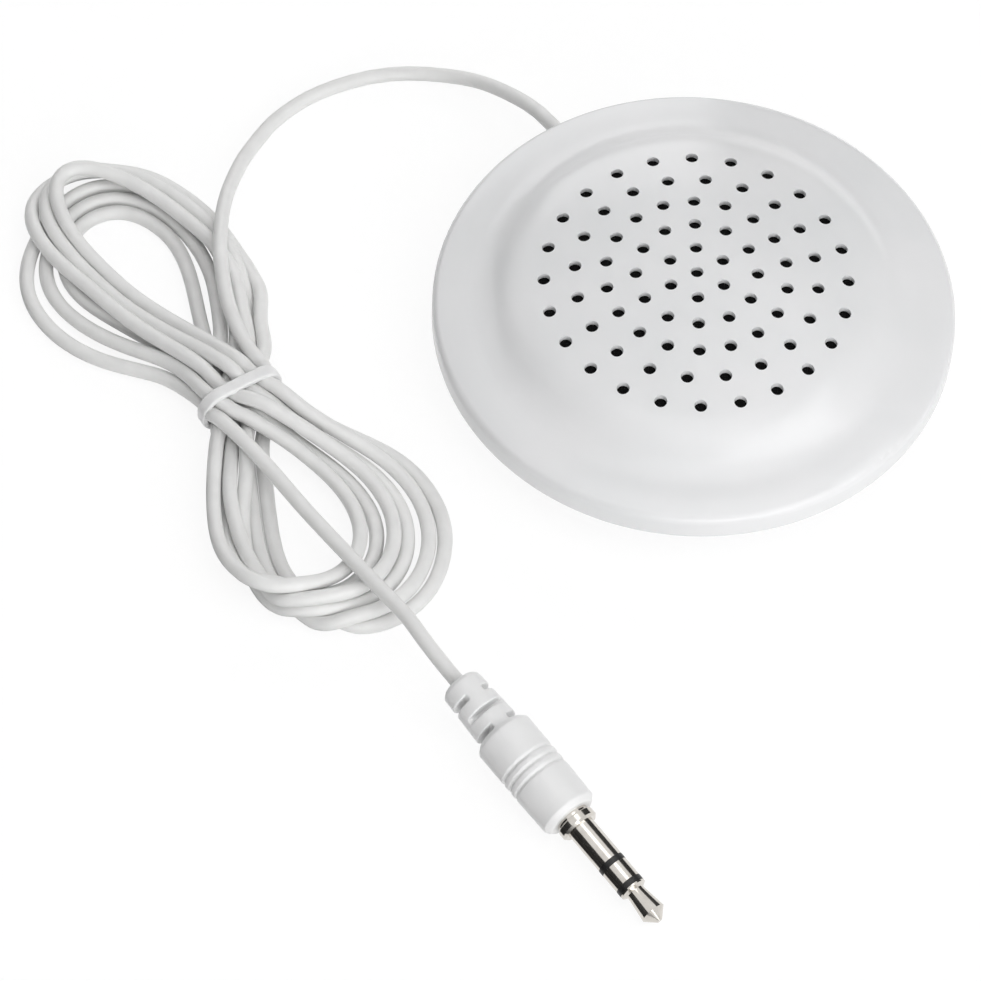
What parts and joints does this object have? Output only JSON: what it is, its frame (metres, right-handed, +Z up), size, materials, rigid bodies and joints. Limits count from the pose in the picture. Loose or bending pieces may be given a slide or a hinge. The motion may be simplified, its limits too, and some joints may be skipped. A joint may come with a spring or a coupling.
{
  "type": "mini speaker",
  "caption": "Thin round white speaker for under a pillow, with a pierced domed grille and a long cord tied in a figure-eight hank that ends in a 3.5 mm stereo plug.",
  "frame": {"origin": "centre of the disc on the surface that it rests on", "axes": "+Z up through the middle of the grille; +Y from the centre to the first hole of the outermost ring; +X to the right of it, away from the cord's hank"},
  "size_m": [0.1184, 0.1284, 0.015],
  "materials": {
    "shell_plastic": "moulded white, satin gloss",
    "zinc_screw": "zinc plated",
    "screen_cloth": "fine black cloth",
    "foam_gasket": "closed-cell foam, matt",
    "foam_pad": "open foam, matt",
    "driver_film": "thin formed film, slightly glossy",
    "coil_copper": "enamelled copper wire",
    "basket_steel": "pressed sheet, black finish",
    "yoke_steel": "plated steel",
    "magnet_nickel": "nickel plated",
    "board_laminate": "brown laminate",
    "solder": "solder, dull shine",
    "wire_red": "insulated wire, red",
    "wire_white": "insulated wire, white",
    "cord_pvc": "soft white jacket, satin",
    "tie_pvc": "white coated tie",
    "plug_pvc": "soft white moulding, satin",
    "plug_metal": "nickel plated, polished",
    "plug_insulator": "dark insulator"
  },
  "bodies": {
    "root": {"front_shell": "shell_plastic", "rear_shell": "shell_plastic", "case_screws": "zinc_screw", "dust_screen": "screen_cloth", "driver_gasket": "foam_gasket", "diaphragm": "driver_film", "voice_coil": "coil_copper", "driver_basket": "basket_steel", "yoke": "yoke_steel", "magnet": "magnet_nickel", "pole_plate": "yoke_steel", "damping_pad": "foam_pad", "terminal_board": "board_laminate", "solder_joints": "solder", "lead_wire_signal": "wire_red", "lead_wire_ground": "wire_white", "cord_stop": "cord_pvc", "cord_lead": "cord_pvc", "cord_hank": "cord_pvc", "cord_tie": "tie_pvc", "cord_tail": "cord_pvc", "plug_overmould": "plug_pvc", "jack_sleeve": "plug_metal", "jack_insulator_rear": "plug_insulator", "jack_ring": "plug_metal", "jack_insulator_front": "plug_insulator", "jack_tip": "plug_metal"}
  },
  "joints": []
}
